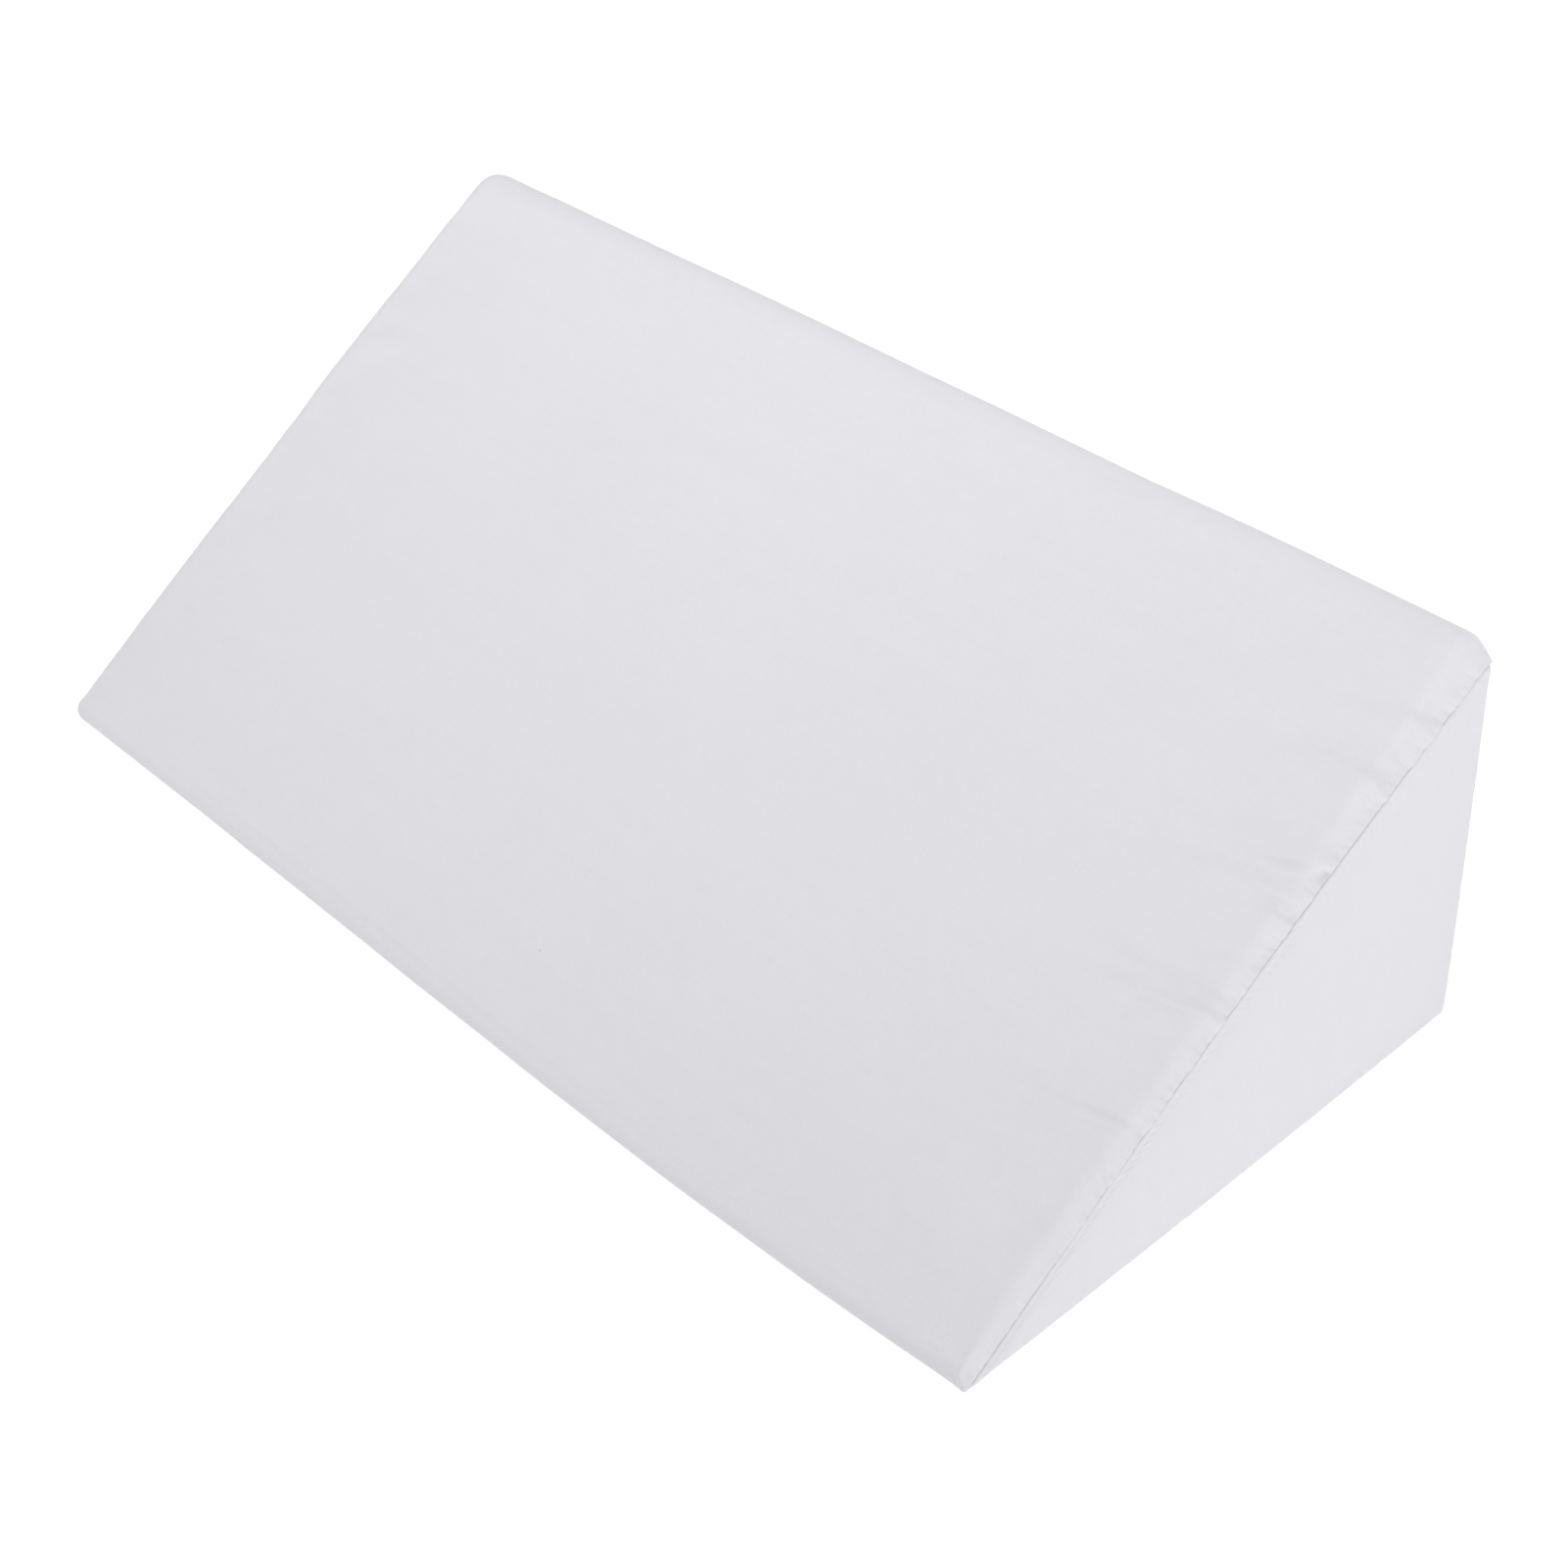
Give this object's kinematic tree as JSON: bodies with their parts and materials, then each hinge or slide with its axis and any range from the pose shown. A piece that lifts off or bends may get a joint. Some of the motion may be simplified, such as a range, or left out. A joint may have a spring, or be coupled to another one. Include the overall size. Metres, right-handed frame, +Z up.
{
  "type": "leg elevation cushion",
  "caption": "Foam wedge cushion in a fitted white cloth cover, with a long slope that raises the legs of someone lying down.",
  "frame": {"origin": "middle of the base, on the surface that the cushion rests on", "axes": "+X along the cushion, +Y from the thin toe towards the upright back, +Z up from the base"},
  "size_m": [0.503, 0.2489, 0.1622],
  "materials": {
    "wrap_cloth": "matt, fine plain weave",
    "end_cloth": "matt, fine plain weave"
  },
  "bodies": {
    "root": {"filled_wedge": "wrap_cloth", "end_panel_left": "end_cloth", "end_panel_right": "end_cloth"}
  },
  "joints": []
}
